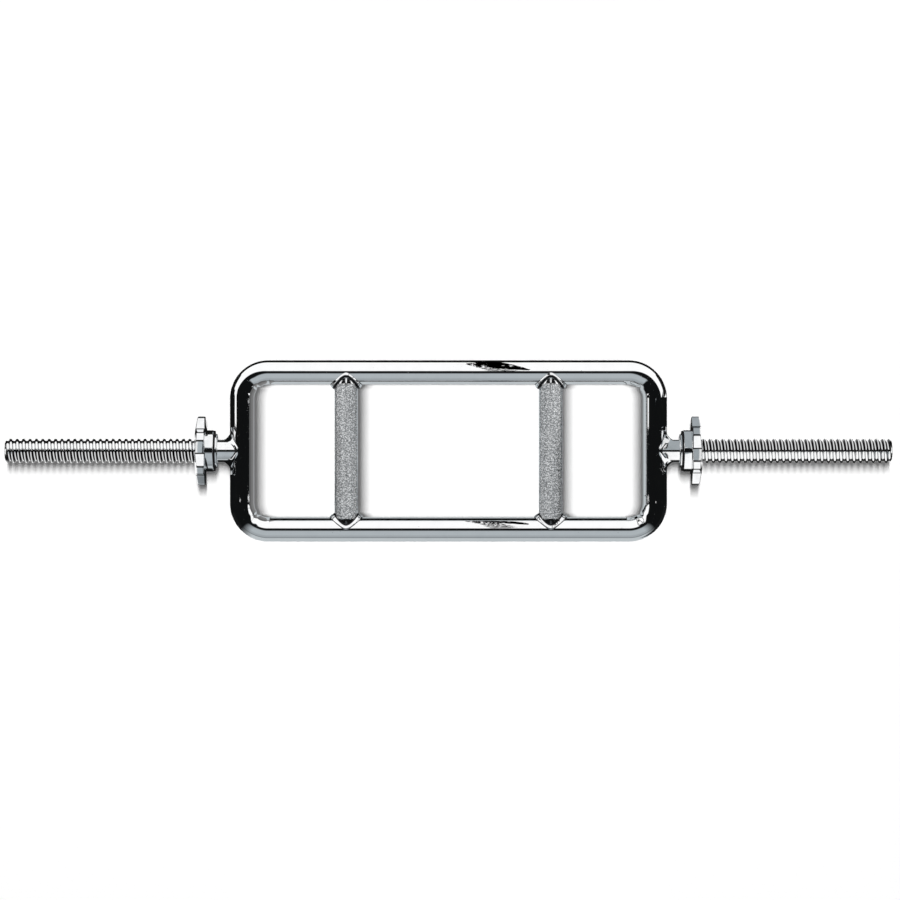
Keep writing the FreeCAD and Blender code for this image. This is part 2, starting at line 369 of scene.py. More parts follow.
chrome_bar = plated(
    "chrome_bar", (0.94, 0.945, 0.95), (0.7, 0.71, 0.72), (0.03, 0.14), marks=0.002, pits=0.05, waves=0.1
)
chrome_weld = plated(
    "chrome_weld", (0.93, 0.94, 0.95), (0.02, 0.02, 0.021), (0.05, 0.3),
    marks=0.006, pits=0.05, waves=0.2, grooves=1.0,
)
threaded_chrome = plated(
    "threaded_chrome", (0.94, 0.945, 0.95), (0.02, 0.021, 0.023), (0.06, 0.25),
    marks=0.006, pits=0.04, waves=0.1, grooves=1.0,
)
# On the knurl the dull colour along the valleys is painted shade.
knurled_chrome = plated(
    "knurled_chrome", (0.98, 0.985, 0.99), (0.48, 0.49, 0.5), (0.1, 0.25),
    marks=0.01, pits=0.04, waves=0.05, grooves=0.06, speckle=700.0,
)
cast_chrome = plated(
    "cast_chrome", (0.92, 0.93, 0.94), (0.03, 0.03, 0.032), (0.06, 0.2),
    marks=0.012, pits=0.06, waves=0.5, pit_level=0.74, grooves=1.0,
)

# %% [markdown]
# ### Rubber
# The rings are moulded rubber: nearly black, matt, with a fine grain and a little dust in it.

# %% The rubber material
rubber_grain_scale, rubber_dust_scale = 2600.0, 240.0
clean_rubber, dusty_rubber = (0.008, 0.008, 0.009, 1), (0.03, 0.029, 0.028, 1)
rubber_grain_height = 0.00008


def rubber(name):
    """Matt rubber. Its roughness and its normal follow the grain, and its colour the dust."""
    material, tree, shader, place = surface_material(name)
    grain = noise(tree, place, rubber_grain_scale, 3.0, 0.6)
    dust = ramp(tree, noise(tree, place, rubber_dust_scale, 4.0, 0.7), 0.5, 0.8)
    tree.links.new(mixed_colour(tree, dust, clean_rubber, dusty_rubber), shader.inputs["Base Color"])
    tree.links.new(ramp(tree, grain, 0.3, 0.7, 0.62, 0.85), shader.inputs["Roughness"])
    shader.inputs["Specular IOR Level"].default_value = 0.15
    roughen(tree, shader, grain, rubber_grain_height)
    return material


black_rubber = rubber("black_rubber")

# %% [markdown]
# ## The loop
# Two lengths of round bar are bent to a C and butt welded in the middle of the rails. A curve
# with a round bevel would do, but cold bending also gathers the metal on the inside of each
# bend in small wrinkles, and those need a surface of their own. The half loop is a circle
# carried along a path: the path's centre slides along a rectangle while its direction turns at
# the corners.

# %% The loop's two halves
around = 128
straight_rows = 14
bend_rows = 56
wrinkle_depth = 1.6
wrinkle_count = 3.0
bend_focus = 8
inner_focus = 1.2


def loop_path():
    """Corner centres and directions along the right half, from the rear rail to the front one.

    A point of the bar's centreline is the corner centre plus the bend radius in the direction.
    """
    corner = np.array([side_x - bend_radius, rail_y - bend_radius])
    seam_x = butt_weld_width / 2
    rail = np.linspace(seam_x, corner[0], straight_rows, endpoint=False)
    side = np.linspace(corner[1], -corner[1], straight_rows, endpoint=False)
    bend = np.linspace(np.pi / 2, 0, bend_rows, endpoint=False)
    last_bend = np.linspace(0, -np.pi / 2, bend_rows, endpoint=False)
    last_rail = np.linspace(corner[0], seam_x, straight_rows)
    x = np.concatenate([rail, np.full(bend_rows, corner[0]), np.full(straight_rows, corner[0]),
                        np.full(bend_rows, corner[0]), last_rail])
    y = np.concatenate([np.full(straight_rows + bend_rows, corner[1]), side,
                        np.full(bend_rows + straight_rows, -corner[1])])
    angle = np.concatenate([np.full(straight_rows, np.pi / 2), bend, np.zeros(straight_rows),
                            last_bend, np.full(straight_rows, -np.pi / 2)])
    return x, y, angle


def loop_half():
    """The bar's surface: centre + (bend radius + r cos t) outwards + r sin t upwards.

    r is the bar's radius less the wrinkles: a few waves within each bend, deepest in its
    middle and on its inner side, where cos t is -1.
    """
    x, y, angle = loop_path()
    share = np.abs(angle) / (np.pi / 2)
    inside_bend = np.sin(np.pi * share) ** bend_focus
    waves = 0.5 - 0.5 * np.cos(2 * np.pi * wrinkle_count * share)
    turn = angles_around(around)
    inner_side = np.clip(-np.cos(turn), 0, 1) ** inner_focus
    radius = loop_bar_radius - wrinkle_depth * (inside_bend * waves)[:, None] * inner_side[None, :]
    reach = bend_radius + radius * np.cos(turn)
    points = np.stack(
        [
            x[:, None] + reach * np.cos(angle)[:, None],
            y[:, None] + reach * np.sin(angle)[:, None],
            radius * np.sin(turn),
        ],
        axis=-1,
    )
    first = np.broadcast_to(points[:1].mean(axis=1, keepdims=True), points[:1].shape)
    last = np.broadcast_to(points[-1:].mean(axis=1, keepdims=True), points[-1:].shape)
    return np.concatenate([first, points, last])


half_loop = loop_half()
for side, points in (("right", half_loop), ("left", to_left(half_loop))):
    piece = make_piece(f"{side}_loop_bar", [(points, 0)])
    dress(piece, "bar", "chrome_bar", chrome_bar, f"loop_half_{side}")

# %% [markdown]
# ### The butt welds
# The seams in the middle of the rails are welded, ground flush and plated over. What is left of
# each is a band a few millimetres wide, so it is a short length of the same round surface.


# %% Butt welds
def band(centre_y):
    """A short closed cylinder along X: two centres and two rims, one after the other."""
    turn = angles_around(around)
    half = butt_weld_width / 2
    x = np.array([-half, -half, half, half])[:, None] * np.ones(around)
    radius = np.array([0, loop_bar_radius, loop_bar_radius, 0])[:, None]
    return np.stack([x, centre_y + radius * np.cos(turn), radius * np.sin(turn)], axis=-1)


for side, centre_y in (("rear", rail_y), ("front", -rail_y)):
    piece = make_piece(f"{side}_rail_seam", [(band(centre_y), 0)])
    dress(piece, "bar", "chrome_bar", chrome_bar, f"{side}_rail_weld")

# %% [markdown]
# ## The knurled handles
# A knurling tool presses two families of slanted grooves into the bar and leaves small diamond
# pyramids. In the photo they are what makes the handles look grey. A bump texture could fake
# them, but real pyramids catch the light on their facets, so they are modelled: a grid of peaks
# and valleys that alternate like the squares of a chessboard. The ends of each handle are turned
# down to a plain, slightly tapered land where they meet the weld, and they are coped to the
# rails' round surface. The depth mask is 0 in the valleys, 1 on the peaks and 2 on the lands.

# %% Handles
diamonds_around = 48
diamond_length = 1.25
knurl_depth = 0.33
peak_wear = 0.22
wear_seed = 3
knurl_front_y = -67.0
knurl_rear_y = 65.7
land_radius = 11.55
land_mask = 2.0
front_land_slope = math.tan(math.radians(3.0))
rear_land_slope = math.tan(math.radians(8.5))
cope_rows = 8
facet_angle = 12.0


def coped(y, z):
    """y, held short of the round surface of the rails at this height z."""
    limit = rail_y - np.sqrt(loop_bar_radius**2 - z**2)
    return np.clip(y, -limit, limit)


def handle_grid():
    """The knurl's corners: rows and columns half a diamond apart, peaks where they add to odd.

    Next to each peak lie four valleys, and the triangles between them are the pyramid's facets.
    Each peak is worn down by a random part of the peak wear.
    """
    columns = 2 * diamonds_around
    knurl_rows = round(2 * (knurl_rear_y - knurl_front_y) / diamond_length)
    knurl_y = np.linspace(knurl_front_y, knurl_rear_y, knurl_rows + 1)
    front_land = np.linspace(-rail_y, knurl_front_y, cope_rows, endpoint=False)
    rear_land = np.linspace(rail_y, knurl_rear_y, cope_rows, endpoint=False)[::-1]
    y = np.concatenate([front_land, knurl_y, rear_land])[:, None]
    turn = angles_around(columns)[None, :]
    peak = np.add.outer(np.arange(1, len(y) + 1), np.arange(columns)) % 2
    land = (y < knurl_front_y) | (y > knurl_rear_y)
    drop = np.maximum(front_land_slope * (knurl_front_y - y), rear_land_slope * (y - knurl_rear_y))
    worn = peak_wear * np.random.default_rng(wear_seed).random(peak.shape)
    radius = np.where(land, land_radius - drop, handle_radius - knurl_depth * (1 - peak) - worn * peak)
    x = radius * np.cos(turn)
    z = radius * np.sin(turn)
    points = np.stack([x, coped(y * np.ones_like(x), z), z], axis=-1)
    middle = np.array([0.0, rail_y - loop_bar_radius, 0.0])
    first = np.broadcast_to(-middle, points[:1].shape)
    last = np.broadcast_to(middle, points[-1:].shape)
    mask = np.where(land, land_mask, peak)
    flat = np.full_like(mask[:1], land_mask)
    return np.concatenate([first, points, last]), np.concatenate([flat, mask, flat])


handle_points, handle_mask = handle_grid()
for side, x in (("left", -handle_x), ("right", handle_x)):
    shifted = handle_points + np.array([x, 0.0, 0.0])
    piece = make_piece(f"{side}_knurled_handle", [(shifted, 0)], facet_angle, [handle_mask], faceted=True)
    dress(piece, "bar", "knurled_chrome", knurled_chrome, f"{side}_handle")

# %% [markdown]
# ## Weld beads
# Each joint is welded all round, and the arc freezes in ripples, like fallen coins. A torus
# pushed into shape would not follow the joint's saddle, so the bead is worked out: at each
# angle round the standing bar it is an arc from a toe on the rail to a toe on the bar, and both
# toes move smoothly from the side of the joint to its crown. Along the toes runs a dark line of
# painted shade.

# %% Beads
bead_columns = 180
bead_rows = 22
toe_sink = 0.25
core_depth = 4.0
crown_roundness = 0.985
coin_bow = 2.2
bead_sharp_angle = 60.0


def bead_grid(bar_radius, leg, crown_leg, bulge, crown_bulge, ripples, ripple_height, lean=1.0, sink=0.25,
              rail_line=0.0, bar_line=0.0):
    """A bead round a bar that stands on the rail along +Y, with the rail along X, and its mask.

    Sizes blend from the side to the crown by cos^2 of the angle. The surface runs straight
    from toe to toe, plus 4 w (1 - w) of the bulge, where w is v to the power of the lean, and
    it closes through a core inside both bars. The toe on the bar lies below its radius by sink.
    The mask is 0 along each toe, a line of painted shade, for the given share of the bead's width.
    """
    turn = angles_around(bead_columns)
    cosine, sine = np.cos(turn), np.sin(turn)
    side = cosine**2
    share = np.arcsin(crown_roundness * sine) / math.asin(crown_roundness)
    apex = math.sqrt(loop_bar_radius**2 - bar_radius**2)
    crown_turn = math.atan2(bar_radius, apex) + crown_leg / loop_bar_radius
    over = share * crown_turn
    here_leg = crown_leg + (leg - crown_leg) * side
    here_bulge = crown_bulge + (bulge - crown_bulge) * side + toe_sink
    toe = loop_bar_radius - toe_sink
    rail_toe = np.stack([(bar_radius + leg) * cosine, toe * np.cos(over), toe * np.sin(over)], axis=-1)
    joint = apex + (loop_bar_radius - apex) * side
    sunk = bar_radius - sink
    bar_toe = np.stack([sunk * cosine, joint + here_leg, sunk * sine], axis=-1)
    out = np.stack([cosine, np.cos(over), sine + np.sin(over)], axis=-1)
    out /= np.linalg.norm(out, axis=-1, keepdims=True)
    v = np.linspace(0, 1, bead_rows)[:, None]
    hump = 4 * v**lean * (1 - v**lean)
    coin = np.abs(np.sin(ripples / 2 * turn + coin_bow * (v - 0.5) ** 2 * np.pi))
    height = hump * here_bulge + ripple_height * side * np.sqrt(hump) * coin
    skin = rail_toe * (1 - v)[..., None] + bar_toe * v[..., None] + out * height[..., None]
    inner = bar_radius - core_depth
    deep = apex + (loop_bar_radius - core_depth - apex) * side
    core = np.stack([inner * cosine, deep, inner * sine], axis=-1)[None]
    unshaded = ((v > rail_line) & (v < 1 - bar_line)) * np.ones_like(turn)
    mask = np.concatenate([unshaded, np.ones((1, bead_columns)), unshaded[:1]])
    return np.concatenate([skin, core, skin[:1]]), mask


front_bead, front_mask = bead_grid(
    handle_radius, leg=4.5, crown_leg=3.0, bulge=0.6, crown_bulge=0.8, ripples=26, ripple_height=0.35,
    lean=0.55, sink=0.5, rail_line=0.1, bar_line=0.25,
)
rear_bead, rear_mask = bead_grid(
    handle_radius, leg=4.5, crown_leg=3.0, bulge=0.9, crown_bulge=1.9, ripples=26, ripple_height=0.35,
    lean=1.6, sink=1.1, rail_line=0.15, bar_line=0.4,
)
for side, x in (("left", -handle_x), ("right", handle_x)):
    front = front_bead + np.array([x, -rail_y, 0.0])
    rear = to_left(rear_bead) + np.array([x, rail_y, 0.0])
    for end, points, mask in (("front", front, front_mask), ("rear", rear, rear_mask)):
        piece = make_piece(f"{side}_handle_{end}_bead", [(points, 0)], bead_sharp_angle, [mask])
        dress(piece, "bar", "chrome_weld", chrome_weld, f"{side}_handle_{end}_weld")

# %% [markdown]
# The two end welds are ground to a hollow, so they have no ripples to speak of and a negative
# bulge.

# %% End welds
end_bead, end_mask = bead_grid(
    neck_radius, leg=6.5, crown_leg=2.5, bulge=-1.2, crown_bulge=0.5, ripples=30, ripple_height=0.05
)
right_end_bead = np.stack([end_bead[..., 1], -end_bead[..., 0], end_bead[..., 2]], axis=-1)
right_end_bead = right_end_bead + np.array([side_x, 0.0, 0.0])
for side, points in (("right", right_end_bead), ("left", to_left(right_end_bead))):
    piece = make_piece(f"{side}_end_bead", [(points, 0)], bead_sharp_angle, [end_mask])
    dress(piece, "bar", "chrome_weld", chrome_weld, f"{side}_end_weld")

# %% [markdown]
# ## The threaded ends
# A rolled thread is one ridge that climbs the bar. Modelled on a plain grid its crest would be
# jagged, so the grid is sheared: its rows climb with the thread, one pitch in a turn. Each row
# has a place s along the bar, and the real place is s plus the climb. Past the end face the
# place turns inwards and closes the face as a disc. The flanks are painted dark as painted
# shade, with broad lines on the half that faces the grey wall and thin ones on the other, so the
# mask is 0 in the middle of a flank and 1 on the crest and in the root. A line's width is a share
# of the way from the one to the other.

# %% Threads
thread_columns = 96
samples_per_pitch = 16
crest_width = 1.7
root_width = 1.7
flank_rounding = 0.6
thin_line, broad_line = 0.23, 0.8
broad_line_black = 0.5
line_turn = 0.1
neck_start_x = 208.0
runout_turns = 0.75
thread_sharp_angle = 50.0


def ridge_height(place):
    """0 in the root and 1 on the crest, with rounded flanks, for a place along a pitch."""
    offset = np.abs((place / thread_pitch + 0.5) % 1 - 0.5) * thread_pitch
    half_base = (thread_pitch - root_width) / 2
    rise = np.clip((half_base - offset) / (half_base - crest_width / 2), 0, 1)
    smooth = rise * rise * (3 - 2 * rise)
    return rise + flank_rounding * (smooth - rise)


def thread_rows(first, last):
    """Places along the bar, in whole steps from the thread's start."""
    step = thread_pitch / samples_per_pitch
    low, high = (round((x - thread_start_x) / step) for x in (first, last))
    return thread_start_x + step * np.arange(low, high)


def climbing(place, turn):
    """The real place of every point: its row's place plus the thread's climb at its angle."""
    return place[:, None] + thread_pitch * turn[None, :] / (2 * np.pi)


def threaded_end():
    """The neck and the thread: a point lies at s + pitch t / 2 pi, at the angle t about X.

    Its radius is the neck's and then that of the ridge at s, held under the chamfer's cone.
    Inside the loop and past the end face it shrinks to nothing, which closes the surface.
    """
    spare = 2 * thread_pitch
    place = thread_rows(neck_start_x - neck_radius - spare, end_face_x + tip_radius + spare)
    turn = angles_around(thread_columns)
    along = climbing(place, turn)
    ridge = ridge_height(place - thread_start_x)[:, None]
    thread_radius = root_radius + (crest_radius - root_radius) * ridge
    grown = np.clip((along - shoulder_x) / (runout_turns * thread_pitch), 0, 1)
    radius = neck_radius + grown * (thread_radius - neck_radius)
    chamfer = tip_radius + (end_face_x - along) * (crest_radius - tip_radius) / chamfer_length
    radius = np.minimum(radius, np.maximum(chamfer, tip_radius))
    radius = np.where(along > end_face_x, tip_radius - (along - end_face_x), radius)
    radius = np.where(along < neck_start_x, neck_radius - (neck_start_x - along), radius)
    radius = np.clip(radius, 0, None)
    y = radius * np.sin(turn)
    z = -radius * np.cos(turn)
    rail_surface = side_x + np.sqrt(loop_bar_radius**2 - np.clip(z, -neck_radius, neck_radius) ** 2)
    x = np.clip(along, rail_surface, end_face_x)
    on_thread = (along > shoulder_x) & (along < end_face_x)
    # Painted shade on the flanks: broad dark lines on the side towards the grey wall, thin ones on the other.
    broad = np.clip(0.5 + np.sin(turn) / line_turn, 0, 1)
    black = broad_line_black * broad
    line = thin_line + (broad_line - thin_line) * broad
    flank = np.abs(4 * np.abs((place[:, None] - thread_start_x) / thread_pitch % 1 - 0.5) - 1)
    mask = np.where(on_thread, np.clip((flank - black) / (line - black), 0, 1), 1.0)
    return np.stack([x, y, z], axis=-1), mask


thread_points, thread_mask = threaded_end()
for side, points in (("right", thread_points), ("left", to_left(thread_points))):
    patches = [(points, samples_per_pitch)]
    piece = make_piece(f"{side}_threaded_post", patches, thread_sharp_angle, [thread_mask])
    dress(piece, "bar", "threaded_chrome", threaded_chrome, f"{side}_threaded_end")

# %% [markdown]
# ## The star nuts
# A star nut is one casting: a plate with six points that a hand can grip, a round hub that
# pushes on the plates, and a nose for the rubber ring. Castings have no sharp edges, so the
# star's outline is a polygon smoothed along its own angle, and every rim is rounded. The bore
# is a sheared grid, like the bar's thread, and both parts meet in the circles of the two mouths.

# %% Star nuts
nut_columns = 384
star_teeth = 6
star_radius = 34.3
valley_radius = 26.5
star_tip_width = 9.0
star_rest_angle = math.radians(54.8)
outline_smoothing = math.radians(1.1)
star_inner_x = 241.3
star_outer_x = 251.3
outer_draft = 2.6
flat_radius = 21.0
hub_radius = 20.5
hub_face_x = 233.0
nose_radius = 16.75
nose_face_x = 229.3
inner_mouth_radius = 12.5
mouth_bottom_x = 233.3
outer_mouth_radius = 13.25
mouth_chamfer = 0.4
mouth_bevel = 0.5
outer_cone_length = 1.0
thread_clearance = 0.25
drilled_radius = 11.25
nose_round = 1.2
hub_round = 0.8
hub_fillet = 0.5
edge_round = 0.9
rim_end_angle = 8
rim_band = 1.0
flat_edge_width = 1.0
flat_edge_drop = 0.12
arc_rows = 6
corner_line = math.radians(1.9)
nut_sharp_angle = 40.0
half_tooth = math.pi / star_teeth
half_tip = math.asin(star_tip_width / 2 / star_radius)


def from_tooth(turn):
    """The angle from the middle of the nearest tooth."""
    return np.abs((turn + half_tooth) % (2 * half_tooth) - half_tooth)


def star_outline(turn):
    """The star's radius at each angle: straight tips and flanks, smoothed with a Gauss curve."""
    offset = from_tooth(turn)
    tip = star_radius * math.cos(half_tip) / np.cos(np.minimum(offset, half_tip))
    corner = star_radius * np.array([math.cos(half_tip), math.sin(half_tip)])
    valley = valley_radius * np.array([math.cos(half_tooth), math.sin(half_tooth)])
    run = valley - corner
    across = corner[0] * run[1] - corner[1] * run[0]
    flank = across / (np.cos(offset) * run[1] - np.sin(offset) * run[0])
    radius = np.where(offset < half_tip, tip, flank)
    wave = np.fft.rfftfreq(len(turn), 1 / len(turn))
    return np.fft.irfft(np.fft.rfft(radius) * np.exp(-0.5 * (wave * outline_smoothing) ** 2), len(turn))


def star_mask(turn):
    """0 along the star's corners and valleys, where dark lines of painted shade go, 1 on the flat sides
    between them.
    """
    offset = from_tooth(turn)
    nearest = np.minimum(np.abs(offset - half_tip), half_tooth - offset)
    return np.clip(2 * nearest / corner_line - 1, 0, 1)


def rounded(corner_x, corner_radius, size, start, end):
    """An arc in the (x, radius) plane round a corner's centre, from angle to angle."""
    angle = np.radians(np.linspace(start, end, arc_rows))[:, None]
    return corner_x + size * np.cos(angle), corner_radius + size * np.sin(angle)


def outer_face_x(radius):
    """The star's outer face, which slopes back from its flat middle to the tips."""
    return star_outer_x - outer_draft * (radius - flat_radius) / (star_radius - flat_radius)


def nut_shell():
    """The outside, from the inner mouth over nose, hub and star to the outer mouth."""
    turn = angles_around(nut_columns)
    star = star_outline(turn)[None, :]
    one = np.ones_like(star)
    rows = []
    masks = []

    def add(x, radius, mask=1.0):
        rows.append(np.stack([x * one, radius * one], axis=-1))
        masks.append(mask * np.ones(rows[-1].shape[:2]))

    def line(x, radius):
        add(np.array([[x]]), np.array([[radius]]))

    line(mouth_bottom_x, inner_mouth_radius)
    line(nose_face_x + mouth_chamfer, inner_mouth_radius)
    line(nose_face_x, inner_mouth_radius + mouth_chamfer)
    add(*rounded(nose_face_x + nose_round, nose_radius - nose_round, nose_round, 180, 90))
    line(hub_face_x, nose_radius)
    add(*rounded(hub_face_x + hub_round, hub_radius - hub_round, hub_round, 180, 90))
    line(star_inner_x - hub_fillet, hub_radius)
    add(*rounded(star_inner_x - hub_fillet, hub_radius + hub_fillet, -hub_fillet, 90, 180))
    lines = star_mask(turn)
    rim = star - edge_round
    add(*rounded(star_inner_x + edge_round, rim, edge_round, 180, 90), lines)
    add(*rounded(outer_face_x(star) - edge_round, rim, edge_round, 90, rim_end_angle), lines)
    add(outer_face_x(rim - rim_band), rim - rim_band)
    line(star_outer_x - flat_edge_drop, flat_radius + flat_edge_width)
    line(star_outer_x, flat_radius - flat_edge_width)
    line(star_outer_x, outer_mouth_radius + mouth_bevel)
    line(star_outer_x - mouth_chamfer, outer_mouth_radius)
    profile = np.concatenate(rows)
    x, radius = profile[..., 0], profile[..., 1]
    return np.stack([x, radius * np.cos(turn), radius * np.sin(turn)], axis=-1), np.concatenate(masks)


def nut_bore():
    """The threaded hole: the bar's thread grown by the clearance, between the two mouths.

    It is drilled wider than the thread's root, and it opens in a cone at each mouth.
    """
    outer_x = star_outer_x - mouth_chamfer
    reach = outer_mouth_radius - root_radius + thread_pitch
    place = thread_rows(mouth_bottom_x - 2 * reach, outer_x + reach)
    turn = angles_around(nut_columns)
    along = climbing(place, turn)
    ridge = ridge_height(place - thread_start_x)[:, None]
    bore = root_radius + thread_clearance + (crest_radius - root_radius) * ridge
    widened = np.clip(mouth_bottom_x - along, 0, None)
    bore = np.where(widened > 0, np.minimum(bore + widened, inner_mouth_radius), bore)
    widened = np.clip(along - outer_x + outer_cone_length, 0, None)
    bore = np.maximum(bore, np.minimum(drilled_radius + widened, outer_mouth_radius))
    bore = np.where(along > outer_x, outer_mouth_radius, bore)
    x = np.clip(along, mouth_bottom_x, outer_x)
    return np.stack([x, bore * np.sin(turn), -bore * np.cos(turn)], axis=-1)


shell_points, shell_mask = nut_shell()
bore_points = nut_bore()
nut_parts = [(turned_about_x(shell_points, star_rest_angle), 0), (bore_points, samples_per_pitch)]
nut_masks = [shell_mask, np.ones(bore_points.shape[:2])]
for side, place in (("right", lambda p: p), ("left", to_left)):
    patches = [(place(points), shift) for points, shift in nut_parts]
    piece = make_piece(f"{side}_star_casting", patches, nut_sharp_angle, nut_masks)
    dress(piece, f"{side}_nut", "cast_chrome", cast_chrome, f"{side}_star_nut")

# %% [markdown]
# ## The rubber rings
# A flat ring of rubber sits on each nose, so that the nut grips the plate and doesn't work
# loose. It is a small rounded section turned about the bar.

# %% Rubber rings
ring_columns = 160
ring_inner_radius = 17.0
ring_outer_radius = 20.0
ring_face_x = 231.3
ring_thickness = 1.6
ring_rounding = 0.4
ring_rows = 33


def ring_grid():
    """A rounded rectangle in the (x, radius) plane, turned about X."""
    angle = np.linspace(0, 2 * np.pi, ring_rows)
    along, up = np.cos(angle), np.sin(angle)
    half_x = ring_thickness / 2 - ring_rounding
    half_r = (ring_outer_radius - ring_inner_radius) / 2 - ring_rounding
    x = ring_face_x + ring_thickness / 2 + half_x * np.sign(along.round(6)) + ring_rounding * along
    middle = (ring_inner_radius + ring_outer_radius) / 2
    radius = middle + half_r * np.sign(up.round(6)) + ring_rounding * up
    turn = angles_around(ring_columns)
    one = np.ones(ring_columns)
    return np.stack(
        [x[:, None] * one, radius[:, None] * np.cos(turn), radius[:, None] * np.sin(turn)], axis=-1
    )


ring_points = ring_grid()
for side, points in (("right", ring_points), ("left", to_left(ring_points))):
    piece = make_piece(f"{side}_ring", [(points, 0)])
    dress(piece, f"{side}_ring", "black_rubber", black_rubber, f"{side}_rubber_ring")

# %% [markdown]
# ## The floor
# The bar is seen straight down on white paper. The floor is a plain pale plane just under
# the star nuts. To the camera it is white where the light reaches it, and it keeps the bar's
# shadow. Chrome on white paper would melt into it, so the paper's tone in reflections is
# painted: dark strips beside the bar, which only the chrome sees, are painted reflections that
# draw the thin dark outlines. That tone follows the paper's distance from the loop's outline.

# %% Floor
floor_z = -0.0345
floor_reach = 6.0
corner_x = (side_x - bend_radius) * metres_per_millimetre
corner_y = (rail_y - bend_radius) * metres_per_millimetre
outline_radius = (bend_radius + loop_bar_radius) * metres_per_millimetre
strip_near, strip_far = 0.003, 0.118
strip_blur = 0.006
thread_strip_near, thread_strip_far = 0.016, 0.16
post_start = 0.245
post_reach_y = 0.062
neck_strip_x = 0.219
paper_white, paper_dim, paper_dark = 1.05, 0.58, 0.01
dim_blue = (0.9, 0.965, 1.0, 1)
plain_white = (1, 1, 1, 1)
half_blur = 0.001
outline_blur = 0.002
side_share = (0.75, 0.95)
bend_share = (0.45, 0.75)
nearly_nothing = 0.0001


def between(tree, value, low, high, blur=0.004):
    """1 between low and high and 0 outside, with blurred limits."""
    up = ramp(tree, value, low - blur / 2, low + blur / 2)
    down = ramp(tree, value, high - blur / 2, high + blur / 2, 1.0, 0.0)
    return times(tree, up, down)


def past(tree, value, limit):
    """How far a value, taken without its sign, reaches past the limit."""
    beyond = math_node(tree, "SUBTRACT", math_node(tree, "ABSOLUTE", value), limit)
    return largest(tree, beyond, 0.0)


def painted_paper_reflections(tree):
    """Masks over the paper's painted reflections: where it is bright to the chrome, and where a dark strip is
    painted.

    The distance from the loop's outline is the length of what reaches past the corner centres,
    less the outline's radius. The share is the x part of that reach.
    """
    place = add_node(tree, "ShaderNodeTexCoord").outputs["Object"]
    parts = add_node(tree, "ShaderNodeSeparateXYZ", {0: place})
    x, y = parts.outputs[0], parts.outputs[1]
    past_x, past_y = past(tree, x, corner_x), past(tree, y, corner_y)
    squares = math_node(tree, "MULTIPLY_ADD", past_x, past_x, times(tree, past_y, past_y))
    reach = math_node(tree, "SQRT", squares)
    distance = math_node(tree, "SUBTRACT", reach, outline_radius)
    share = math_node(tree, "DIVIDE", past_x, largest(tree, reach, nearly_nothing))
    behind = ramp(tree, y, -half_blur, half_blur)
    outside = ramp(tree, distance, 0.0, outline_blur)
    from_strip = ramp(tree, distance, strip_near, strip_near + strip_blur)
    wider = math_node(tree, "SUBTRACT", distance, ramp(tree, share, *side_share))
    to_strip = ramp(tree, wider, strip_far, strip_far + strip_blur, 1.0, 0.0)
    ring = times(tree, from_strip, to_strip, behind)
    lower_bend = times(tree, opposite(tree, behind), outside, ramp(tree, share, *bend_share))
    along_post = ramp(tree, math_node(tree, "ABSOLUTE", x), post_start, post_start + strip_blur)
    by_post = times(tree, along_post, between(tree, y, -post_reach_y, post_reach_y))
    loop_strips = times(tree, largest(tree, ring, lower_bend), opposite(tree, by_post))
    on_left = ramp(tree, x, -neck_strip_x, -neck_strip_x + strip_blur, 1.0, 0.0)
    on_right = ramp(tree, x, neck_strip_x - strip_blur, neck_strip_x)
    behind_thread = between(tree, y, thread_strip_near, thread_strip_far, strip_blur)
    before_thread = between(tree, y, -thread_strip_far, -thread_strip_near, strip_blur)
    left = times(tree, behind_thread, on_left)
    right = times(tree, before_thread, on_right)
    bright = largest(tree, times(tree, behind, outside), by_post)
    return bright, largest(tree, loop_strips, left, right)


paper_colour = (0.9, 0.9, 0.9, 1)
paper_glow_level = 0.08
paper_second_share = 0.3


def white_paper():
    """The paper: lit by the lamps for the camera, and with painted tones of its own in the chrome.

    What the chrome mirrors is dimmed where the light has met a matt surface before, which darkens the paper's
    shadows as painted shade.
    """
    material, tree = blank_material("paper")
    rays = add_node(tree, "ShaderNodeLightPath").outputs
    lit = add_node(tree, "ShaderNodeBsdfDiffuse", {"Color": paper_colour}).outputs[0]
    glow = add_node(tree, "ShaderNodeEmission", {"Strength": paper_glow_level}).outputs[0]
    seen = add_node(tree, "ShaderNodeAddShader", {0: lit, 1: glow}).outputs[0]
    bright, painted_dark_strip = painted_paper_reflections(tree)
    level = times(tree, ramp(tree, bright, 0.0, 1.0, paper_dim, paper_white), opposite(tree, painted_dark_strip))
    # Painted shade: light that reaches the paper by way of the chrome is cut to a share, so the shadows stay
    # dark.
    again = math_node(tree, "MINIMUM", rays["Diffuse Depth"], 1.0)
    share = ramp(tree, again, 0.0, 1.0, 1.0, paper_second_share)
    level = times(tree, largest(tree, level, paper_dark), share)
    look = {"Color": mixed_colour(tree, bright, dim_blue, plain_white), "Strength": level}
    mirrored = add_node(tree, "ShaderNodeEmission", look).outputs[0]
    sides = {0: rays["Is Glossy Ray"], 1: seen, 2: mirrored}
    surface = add_node(tree, "ShaderNodeMixShader", sides).outputs[0]
    add_node(tree, "ShaderNodeOutputMaterial", {"Surface": surface})
    return material


paper = white_paper()

# %% [markdown]
# The paper lies in four sheets side by side, because the photo's shadows fall to the right of
# the handles, to the left of the right side rail and below the threads. Two sheets get a lamp
# each, and the two end sheets share one. From above, the joints between them don't show.

# %% The sheets of paper
loop_edge_x = (side_x + loop_bar_radius + 0.5) * metres_per_millimetre
right_sheet_x = 0.17


